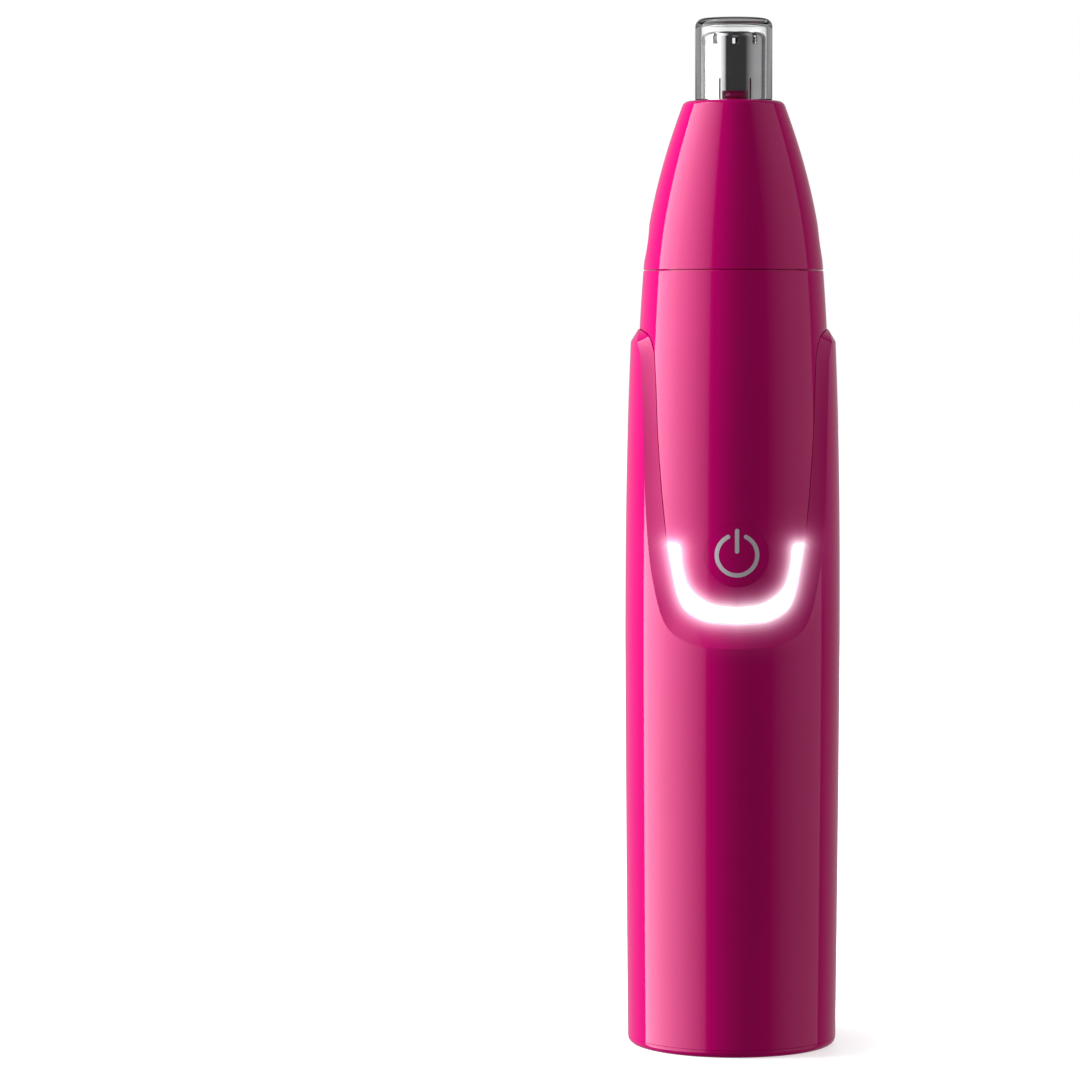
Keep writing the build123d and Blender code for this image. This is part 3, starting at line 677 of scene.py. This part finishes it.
def head_piece():
    """Tapered head with its spigot, neck and two grip dimples."""
    spigot_r = 10.55
    groove_r = 9.5               # holds the sealing ring
    groove_low, groove_high = 101.6, 102.9
    bush_r = 2.58
    dimple_r = 6.8
    dimple_place = (17.9, 0, 109.6)
    foot = SEAM + 0.07
    outside = [(head_radius(z), z) for z in spread(foot + 0.3, HEAD_BEND, 80)]
    profile = rounded([(8.6, HEAD_FOOT, 0), (spigot_r, HEAD_FOOT, 0.3),
                       (spigot_r, groove_low, 0.1), (groove_r, groove_low, 0),
                       (groove_r, groove_high, 0), (spigot_r, groove_high, 0.1),
                       (spigot_r, foot, 0), (head_radius(foot), foot, 0.16),
                       (head_radius(foot + 0.3), foot + 0.3, 0)])
    profile += outside
    edge_r = head_radius(HEAD_BEND) - SHOULDER_SLOPE * (HEAD_TOP - HEAD_BEND)
    profile += rounded([(head_radius(HEAD_BEND), HEAD_BEND, 0), (edge_r, HEAD_TOP, 1.0),
                        (NECK_R, HEAD_TOP, 0.1), (NECK_R, NECK_TOP, 0.15),
                        (bush_r, NECK_TOP, 0.1), (bush_r, 124.8, 0), (6.0, 124.8, 0.3),
                        (7.5, 121.3, 3), (9.0, 115.9, 3), (10.05, 110.4, 3), (10.5, 106.0, 0.3),
                        (8.6, 104.3, 0.3)])[1:]
    x, y, z = dimple_place
    mesh = carve(loose(*lathe(profile)), [ball(dimple_r, (side * x, y, z)) for side in (1, -1)])
    piece = adopt("head_shell", mesh, "head", "magenta_plastic", "head_cover")
    true_normals(piece, head_radius)
    return piece


def catch_piece():
    """Small catch on the neck, seen through the window of the guard."""
    low, high = 128.15, 128.9
    half_width = 1.4
    root_r = NECK_R - 0.05
    back_r = 3.6
    front = []
    back = []
    for z in spread(low, high, 8):
        rise = 0.33 * math.sin(math.pi * (z - low) / (high - low)) ** 0.5 if low < z < high else 0
        across = spread(-half_width, half_width, 15)
        reach = [(x, root_r + rise * math.cos(math.pi * x / 3.4)) for x in across]
        front.append([(x, -math.sqrt(r * r - x * x), z) for x, r in reach])
        back.append([(x, -math.sqrt(back_r ** 2 - x * x), z) for x in across])
    return make_piece("neck_catch", *plate(front, back), "head", "magenta_plastic")


# ---- base cap ----
SCREW_HEAD_R = 1.75


def base_piece():
    """Foot of the handle, with the charging port and the screw seats."""
    top = 5.6
    ledge_z, ledge_r = 2.96, 12.88
    plug_r = 11.6                # the plug that goes into the body
    groove_r, groove_low, groove_high = 11.1, 3.8, 4.9
    sleeve_z = SLEEVE_FOOT - 0.04
    profile = rounded([(0, 0, 0), (BASE_R, 0, 0.9), (BASE_R, sleeve_z, 0.08),
                       (ledge_r, sleeve_z, 0), (ledge_r, ledge_z, 0), (plug_r, ledge_z, 0),
                       (plug_r, groove_low, 0), (groove_r, groove_low, 0),
                       (groove_r, groove_high, 0), (plug_r, groove_high, 0),
                       (plug_r, top, 0.2), (0, top, 0)])
    below, above = -1, 7         # the cuts reach past both faces of the base
    port_margin = 0.15
    port_low, port_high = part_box("usb_socket")
    middle_y = (port_low.y + port_high.y) / 2 / MM
    half_h = (port_high.y - port_low.y) / 2 / MM + port_margin
    half_w = (port_high.x - port_low.x) / 2 / MM + port_margin
    ring = []
    for k in range(64):
        angle = 2 * math.pi * k / 64
        shift = math.copysign(half_w - half_h, math.cos(angle))
        ring.append((shift + half_h * math.cos(angle), middle_y + half_h * math.sin(angle)))
    cutters = [upright(ring, below, above)]
    screw_low, screw_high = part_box("base_screws")
    screw_y = (screw_low.y + screw_high.y) / 2 / MM
    screw_x = screw_high.x / MM - SCREW_HEAD_R
    seat_r, hole_r, seat_depth = 2.15, 1.05, 1.27
    seat = [(0, below), (seat_r, below), (seat_r, 0), (hole_r, seat_depth), (hole_r, above),
            (0, above)]
    verts, faces = lathe(seat, 48, closed=False)
    for side in (1, -1):
        cutters.append(loose([(x + side * screw_x, y + screw_y, z) for x, y, z in verts], faces))
    mesh = carve(loose(*lathe(profile, closed=False)), cutters)
    piece = adopt("base_shell", mesh, "handle", "magenta_plastic", "base_cap")
    soften(piece)
    return piece


def soften(piece, angle=32):
    """Smooth shading that keeps the creases."""
    piece.data.set_sharp_from_angle(angle=math.radians(angle))


# ---- metal guard ----
SLOTS = 10


def guard_piece():
    """Slotted guard tube with the snap tab at its foot."""
    inside_r = GUARD_R - 0.4
    mouth_r = 1.7                # round opening in the top
    under_top = GUARD_TOP - 0.5
    profile = rounded([(inside_r, GUARD_FOOT, 0), (GUARD_R, GUARD_FOOT, 0.12),
                       (GUARD_R, GUARD_TOP, 0.9), (mouth_r, GUARD_TOP, 0.12),
                       (mouth_r, under_top, 0.12), (inside_r, under_top, 0.5),
                       (inside_r, GUARD_FOOT, 0)])[:-1]
    slot_size, slot_y = (0.75, 2.5, 3.4), -3.85
    window_size, slit_size = (3.3, 1.4, 2.5), (0.2, 1.8, 5.8)
    slit_x, front_y = 1.95, -4.2
    cutters = []
    for k in range(SLOTS):
        cutters.append(block(slot_size, (0, slot_y, GUARD_TOP), 2 * math.pi * k / SLOTS))
    cutters.append(block(window_size, (0, front_y, HEAD_TOP)))
    for side in (1, -1):
        cutters.append(block(slit_size, (side * slit_x, front_y, HEAD_TOP)))
    mesh = carve(loose(*lathe(profile)), cutters)
    piece = adopt("guard_tube", mesh, "head", "polished_steel", "cutter_guard")
    true_normals(piece, lambda z: GUARD_R)
    return piece


# ---- clear cap ----
def cap_piece():
    """Clear cap: a thin walled cup upside down."""
    inside_r = CAP_R - 0.75
    ceiling = CAP_TOP - 0.9
    profile = rounded([(0, CAP_TOP, 0), (CAP_R, CAP_TOP, 1.1), (CAP_R, CAP_FOOT, 0.2),
                       (inside_r, CAP_FOOT, 0.15), (inside_r, ceiling, 0.5), (0, ceiling, 0)])
    piece = make_piece("cap_shell", *lathe(profile, closed=False), "cap", "clear_plastic",
                       "clear_cap")
    soften(piece)
    return piece


# ---- materials ----
def nodes_of(material):
    """Clears a material and returns its node tree and a Principled shader wired to the output."""
    material.use_nodes = True
    tree = material.node_tree
    tree.nodes.clear()
    output = tree.nodes.new("ShaderNodeOutputMaterial")
    shader = tree.nodes.new("ShaderNodeBsdfPrincipled")
    tree.links.new(shader.outputs[0], output.inputs[0])
    return tree, shader


def noise(tree, scale, detail=3.0, rough=0.5, stretch=(1, 1, 1)):
    """Noise over the object, in object coordinates."""
    place = tree.nodes.new("ShaderNodeTexCoord")
    mapping = tree.nodes.new("ShaderNodeMapping")
    mapping.inputs["Scale"].default_value = stretch
    texture = tree.nodes.new("ShaderNodeTexNoise")
    texture.inputs["Scale"].default_value = scale
    texture.inputs["Detail"].default_value = detail
    texture.inputs["Roughness"].default_value = rough
    tree.links.new(place.outputs["Object"], mapping.inputs[0])
    tree.links.new(mapping.outputs[0], texture.inputs["Vector"])
    return texture.outputs["Fac"]


def ramp(tree, factor, stops):
    """Colour ramp from (place, colour) stops."""
    node = tree.nodes.new("ShaderNodeValToRGB")
    while len(node.color_ramp.elements) < len(stops):
        node.color_ramp.elements.new(0.5)
    for element, (place, colour) in zip(node.color_ramp.elements, stops):
        element.position = place
        element.color = (*colour, 1)
    tree.links.new(factor, node.inputs[0])
    return node.outputs[0]


def spread_value(tree, factor, low, high):
    """Maps a 0.3 to 0.7 noise onto a range."""
    node = tree.nodes.new("ShaderNodeMapRange")
    node.inputs["From Min"].default_value = 0.3
    node.inputs["From Max"].default_value = 0.7
    node.inputs["To Min"].default_value = low
    node.inputs["To Max"].default_value = high
    tree.links.new(factor, node.inputs[0])
    return node.outputs[0]


def bumped(tree, shader, factor, strength, distance):
    """Fine relief on a shader."""
    node = tree.nodes.new("ShaderNodeBump")
    node.inputs["Strength"].default_value = strength
    node.inputs["Distance"].default_value = distance
    tree.links.new(factor, node.inputs["Height"])
    tree.links.new(node.outputs[0], shader.inputs["Normal"])


def finish_of(name, colour, darker, rough, metal=0.0, grain=900, stretch=(1, 1, 1), relief=0.06,
              depth=0.00002, sockets=()):
    """Material with colour, roughness and relief that vary with a fine grain."""
    material = bpy.data.materials.new(name)
    tree, shader = nodes_of(material)
    coarse = noise(tree, grain / 12, 2.0, 0.5, stretch)
    fine = noise(tree, grain, 4.0, 0.6, stretch)
    tree.links.new(ramp(tree, coarse, [(0.3, darker), (0.7, colour)]), shader.inputs["Base Color"])
    tree.links.new(spread_value(tree, fine, rough[0], rough[1]), shader.inputs["Roughness"])
    shader.inputs["Metallic"].default_value = metal
    for socket, value in sockets:
        shader.inputs[socket].default_value = value
    bumped(tree, shader, fine, relief, depth)
    return material


MAGENTA = (0.57, 0.0, 0.155)
MAGENTA_DEEP = (0.54, 0.0, 0.145)


def gloss_plastic():
    """Glossy magenta plastic. The glow attribute paints light onto it next to the light band, as a
    pink-white emission.
    """
    material = bpy.data.materials.new("gloss_magenta")
    tree, shader = nodes_of(material)
    cloud = noise(tree, 35, 2.0)
    grain = noise(tree, 1400, 3.0, 0.55)
    tree.links.new(ramp(tree, cloud, [(0.3, MAGENTA_DEEP), (0.7, MAGENTA)]),
                   shader.inputs["Base Color"])
    tree.links.new(spread_value(tree, grain, 0.04, 0.07), shader.inputs["Roughness"])
    shader.inputs["IOR"].default_value = 1.53
    # Painted glow: the glow attribute drives a pink-white emission on the plastic beside the light
    # band.
    glow = tree.nodes.new("ShaderNodeAttribute")
    glow.attribute_name = "glow"
    painted_glow_tint = ramp(tree, glow.outputs["Fac"],
                [(0.0, (0.95, 0.25, 0.55)), (0.4, (1.0, 0.6, 0.8)), (1.0, (1.0, 0.95, 1.0))])
    tree.links.new(painted_glow_tint, shader.inputs["Emission Color"])
    tree.links.new(glow.outputs["Fac"], shader.inputs["Emission Strength"])
    bumped(tree, shader, grain, 0.05, 0.000006)
    return material


def glowing():
    """White light behind milky plastic, a little brighter in patches over the lamps."""
    material = bpy.data.materials.new("lit_white")
    tree, shader = nodes_of(material)
    cloud = noise(tree, 140, 2.0)
    tree.links.new(ramp(tree, cloud, [(0.3, (1.0, 0.93, 0.98)), (0.7, (1.0, 0.99, 1.0))]),
                   shader.inputs["Emission Color"])
    tree.links.new(spread_value(tree, cloud, 2.2, 2.8), shader.inputs["Emission Strength"])
    tree.links.new(ramp(tree, cloud, [(0.3, (0.86, 0.82, 0.85)), (0.7, (0.92, 0.9, 0.92))]),
                   shader.inputs["Base Color"])
    shader.inputs["Roughness"].default_value = 0.3
    return material


def clear():
    """Clear moulded plastic."""
    material = bpy.data.materials.new("clear_cover")
    tree, shader = nodes_of(material)
    cloud = noise(tree, 120, 2.0)
    grain = noise(tree, 700, 2.0)
    tree.links.new(ramp(tree, cloud, [(0.3, (0.955, 0.96, 0.965)), (0.7, (0.985, 0.99, 0.99))]),
                   shader.inputs["Base Color"])
    tree.links.new(spread_value(tree, grain, 0.0, 0.02), shader.inputs["Roughness"])
    shader.inputs["Transmission Weight"].default_value = 1.0
    shader.inputs["IOR"].default_value = 1.49
    bumped(tree, shader, grain, 0.03, 0.000004)
    return material


def brushed_steel():
    """Polished tube with very fine marks running round it."""
    return finish_of("bright_steel", (0.86, 0.85, 0.87), (0.80, 0.79, 0.81), (0.07, 0.12), 1.0,
                     900, (0.25, 0.25, 6.0), 0.02, 0.000001)


FINISHES = {
    "magenta_plastic": gloss_plastic(),
    "clear_plastic": clear(),
    "light_plastic": glowing(),
    "icon_grey": finish_of("symbol_print", (0.74, 0.68, 0.74), (0.70, 0.64, 0.70), (0.35, 0.45),
                           0.0, 2500, relief=0.08, depth=0.000004),
    "polished_steel": brushed_steel(),
    "steel": finish_of("turned_steel", (0.60, 0.59, 0.58), (0.50, 0.49, 0.48), (0.2, 0.36), 1.0,
                       1500, (1, 1, 8)),
    "dark_plastic": finish_of("black_plastic", (0.035, 0.035, 0.038), (0.02, 0.02, 0.022),
                              (0.42, 0.6)),
    "bronze": finish_of("sintered_bronze", (0.60, 0.36, 0.16), (0.48, 0.27, 0.11), (0.3, 0.5), 1.0,
                        3500),
    "copper": finish_of("enamelled_copper", (0.72, 0.28, 0.13), (0.6, 0.2, 0.08), (0.2, 0.34), 1.0,
                        2200, (1, 1, 5)),
    "magnet": finish_of("ferrite", (0.055, 0.052, 0.05), (0.03, 0.028, 0.027), (0.55, 0.75), 0.2,
                        3000),
    "seal_rubber": finish_of("seal_rubber", (0.03, 0.03, 0.03), (0.018, 0.018, 0.018),
                             (0.55, 0.75)),
    "board_green": finish_of("solder_mask", (0.02, 0.17, 0.055), (0.012, 0.12, 0.04), (0.25, 0.4)),
    "lamp_white": finish_of("lamp_body", (0.85, 0.83, 0.72), (0.78, 0.76, 0.62), (0.3, 0.45)),
    "cell_wrap": finish_of("cell_sleeve", (0.07, 0.16, 0.42), (0.05, 0.12, 0.33), (0.3, 0.42)),
}


def dress(thing, slot):
    """Puts a finish on every slot of an object."""
    if not thing.data.materials:
        thing.data.materials.append(FINISHES[slot])
    for k in range(len(thing.data.materials)):
        thing.data.materials[k] = FINISHES[slot]


# ---- painted glow on the plastic next to the light ----
def nearest(spot, a, b):
    """Distance from a point to the line between two others."""
    run = b - a
    share = min(max((spot - a).dot(run) / max(run.length_squared, 1e-9), 0.0), 1.0)
    return (spot - a - run * share).length


PAINTED_GLOW_REACH = 0.85                # the glow fades to a third over this distance


def paint_glow_halo(piece):
    """Marks how near each point is to the glowing U, for the painted glow on the plastic."""
    band = [Vector(p) for p in light_outline(0.0)]
    layer = piece.data.attributes.new("glow", "FLOAT", "POINT")
    for k, vertex in enumerate(piece.data.vertices):
        spot = vertex.co / MM
        if spot.y > -4 or not 50 < spot.z < 74:      # behind, or far above or below the light
            continue
        here = Vector((spot.x, spot.z))
        gap = min(nearest(here, a, b) for a, b in zip(band, band[1:] + band[:1]))
        # Painted glow: the emission strength, highest at the light's edge and fading away from it.
        layer.data[k].value = math.exp(-gap / PAINTED_GLOW_REACH)


# ---- making the pieces ----
symbol_pieces()
sleeve = sleeve_piece()
body = body_piece()
head_piece()
catch_piece()
base_piece()
light_piece()
button_piece()
guard_piece()
cap_piece()
paint_glow_halo(sleeve)
paint_glow_halo(body)

for thing in list(bpy.context.scene.objects):
    if thing.type != "MESH":
        continue
    if "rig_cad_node" in thing:
        slot_name = thing.data.materials[0].name.split(".")[0] if thing.data.materials else ""
        dress(thing, slot_name if slot_name in FINISHES else "dark_plastic")
    else:
        dress(thing, thing["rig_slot"])


# ---- floor, world, lights, camera ----
def stage_plane(name, corners, material):
    """Flat stage object."""
    mesh = bpy.data.meshes.new(name)
    mesh.from_pydata(corners, [], [tuple(range(len(corners)))])
    mesh.materials.append(material)
    thing = linked(name, mesh)
    return thing


def floor_finish():
    """Pale studio floor. It glows so that it meets the background, and glows less near the object,
    which paints shade round its foot.
    """
    material = bpy.data.materials.new("studio_floor")
    tree, shader = nodes_of(material)
    cloud = noise(tree, 3, 2.0)
    tree.links.new(ramp(tree, cloud, [(0.3, (0.9, 0.9, 0.9)), (0.7, (0.93, 0.93, 0.93))]),
                   shader.inputs["Base Color"])
    shader.inputs["Roughness"].default_value = 0.35
    shader.inputs["Emission Color"].default_value = (1, 1, 1, 1)
    place = tree.nodes.new("ShaderNodeTexCoord")
    reach = tree.nodes.new("ShaderNodeVectorMath")
    reach.operation = "LENGTH"
    tree.links.new(place.outputs["Object"], reach.inputs[0])
    # Painted shade: the floor's glow drops to about half within a few centimetres of the object's
    # foot.
    rise = tree.nodes.new("ShaderNodeMapRange")
    rise.interpolation_type = "SMOOTHSTEP"
    rise.inputs["From Min"].default_value = 0.013
    rise.inputs["From Max"].default_value = 0.034
    rise.inputs["To Min"].default_value = 0.55
    rise.inputs["To Max"].default_value = 1.0
    tree.links.new(reach.outputs["Value"], rise.inputs[0])
    tree.links.new(rise.outputs[0], shader.inputs["Emission Strength"])
    return material


FLOOR_R = 3                      # metres
FLOOR_SIDES = 96
floor_turns = [2 * math.pi * k / FLOOR_SIDES for k in range(FLOOR_SIDES)]
floor = stage_plane("floor", [(FLOOR_R * math.cos(turn), FLOOR_R * math.sin(turn), 0)
                              for turn in floor_turns], floor_finish())
floor.visible_glossy = False
floor.visible_diffuse = False
floor.visible_transmission = False
floor.visible_shadow = False

world = bpy.data.worlds.new("studio")
bpy.context.scene.world = world
world.use_nodes = True
air = world.node_tree
air.nodes.clear()


def air_math(operation, first, second):
    """Math node of the world's tree, with a link or a number on each input."""
    node = air.nodes.new("ShaderNodeMath")
    node.operation = operation
    for socket, value in zip(node.inputs, (first, second)):
        if isinstance(value, float):
            socket.default_value = value
        else:
            air.links.new(value, socket)
    return node.outputs[0]


# The background is white, the room as the surfaces see it is dim and a little lighter behind.
AMBIENT = 0.15                   # what matt surfaces see
path = air.nodes.new("ShaderNodeLightPath")
direction = air.nodes.new("ShaderNodeTexCoord")
split = air.nodes.new("ShaderNodeSeparateXYZ")
air.links.new(direction.outputs["Generated"], split.inputs[0])
behind = air.nodes.new("ShaderNodeMapRange")
behind.inputs["From Min"].default_value = 0.3
behind.inputs["From Max"].default_value = 0.9
behind.inputs["To Min"].default_value = 0.04
behind.inputs["To Max"].default_value = 0.33
air.links.new(split.outputs["Y"], behind.inputs[0])
mirrored_rays = air_math("MINIMUM", path.outputs["Glossy Depth"], 1.0)
bounced = air_math("MINIMUM", air_math("ADD", path.outputs["Glossy Depth"],
                                       path.outputs["Diffuse Depth"]), 1.0)
pick = air.nodes.new("ShaderNodeMix")
pick.inputs["A"].default_value = AMBIENT
air.links.new(behind.outputs[0], pick.inputs["B"])
air.links.new(mirrored_rays, pick.inputs["Factor"])
last = air.nodes.new("ShaderNodeMix")
last.inputs["A"].default_value = 1.0
air.links.new(bounced, last.inputs["Factor"])
air.links.new(pick.outputs["Result"], last.inputs["B"])
sky = air.nodes.new("ShaderNodeBackground")
sky.inputs["Color"].default_value = (1, 1, 1, 1)
air.links.new(last.outputs["Result"], sky.inputs["Strength"])
sky_out = air.nodes.new("ShaderNodeOutputWorld")
air.links.new(sky.outputs[0], sky_out.inputs[0])


PANEL_DISTANCE = 0.5
PANEL_LOW = -0.4
PANEL_HIGH = 1.2


def softbox(name, azimuth, width, stops):
    """Upright glowing panel facing the object, seen only in reflections and through clear
    plastic. Stops are (share from its left edge, strength)."""
    turn = math.radians(azimuth)
    middle = Vector((-math.sin(turn), -math.cos(turn), 0)) * PANEL_DISTANCE
    across = Vector((math.cos(turn), -math.sin(turn), 0)) * (width / 2)
    material = bpy.data.materials.new(name)
    material.use_nodes = True
    tree = material.node_tree
    tree.nodes.clear()
    place = tree.nodes.new("ShaderNodeTexCoord")
    split = tree.nodes.new("ShaderNodeSeparateXYZ")
    tree.links.new(place.outputs["UV"], split.inputs[0])
    peak = max(strength for _, strength in stops)
    shade = ramp(tree, split.outputs[0],
                 [(share, (strength / peak,) * 3) for share, strength in stops])
    glow = tree.nodes.new("ShaderNodeEmission")
    glow.inputs["Strength"].default_value = peak
    tree.links.new(shade, glow.inputs["Color"])
    out = tree.nodes.new("ShaderNodeOutputMaterial")
    tree.links.new(glow.outputs[0], out.inputs[0])
    low, high = Vector((0, 0, PANEL_LOW)), Vector((0, 0, PANEL_HIGH))
    panel = stage_plane(name, [middle - across + low, middle + across + low,
                               middle + across + high, middle - across + high], material)
    layer = panel.data.uv_layers.new(name="across")
    for k, uv in enumerate([(0, 0), (1, 0), (1, 1), (0, 1)]):
        layer.data[k].uv = uv
    panel.visible_camera = False
    panel.visible_diffuse = False
    panel.visible_shadow = False


softbox("key_left", azimuth=68, width=0.97,
        stops=[(0.0, 4.4), (0.29, 3.3), (0.51, 2.1), (0.7, 1.15), (0.88, 0.45), (0.9, 0.08),
               (1.0, 0.0)])
softbox("fill_right", azimuth=-72, width=0.7,
        stops=[(0.0, 0.02), (0.25, 0.22), (0.5, 0.36), (1.0, 0.42)])


def lamp(name, azimuth, height, size, watts, shadow=True):
    """Soft lamp aimed at the object's middle, kept out of the reflections."""
    distance = 0.6
    middle = Vector((0, 0, 0.07))
    data = bpy.data.lights.new(name, "AREA")
    data.shape = "RECTANGLE"
    data.size = size[0]
    data.size_y = size[1]
    data.energy = watts
    data.use_shadow = shadow
    thing = linked(name, data)
    turn = math.radians(azimuth)
    thing.location = (-math.sin(turn) * distance, -math.cos(turn) * distance, height)
    aim = middle - thing.location
    thing.rotation_euler = aim.to_track_quat("-Z", "Y").to_euler()
    thing.visible_glossy = False
    thing.visible_transmission = False


lamp("key", azimuth=88, height=0.22, size=(0.25, 0.5), watts=8.2)
lamp("fill", azimuth=-75, height=0.22, size=(0.3, 0.5), watts=1.1)
lamp("back", azimuth=180, height=0.3, size=(0.5, 0.5), watts=1.2, shadow=False)

# The camera stands a little lower than the seam, dips slightly and leaves the object right of
# the middle.
CAMERA_PLACE = (-0.02614, -0.5908, 0.100)
CAMERA_DIP = 3.051               # degrees
camera_data = bpy.data.cameras.new("camera")
camera_data.sensor_width = 36
camera_data.lens = 145.35
camera_data.clip_start = 0.01
camera = linked("camera", camera_data)
camera.location = CAMERA_PLACE
camera.rotation_euler = (math.radians(90 - CAMERA_DIP), 0, 0)
bpy.context.scene.camera = camera
bpy.context.scene.view_settings.view_transform = "Standard"
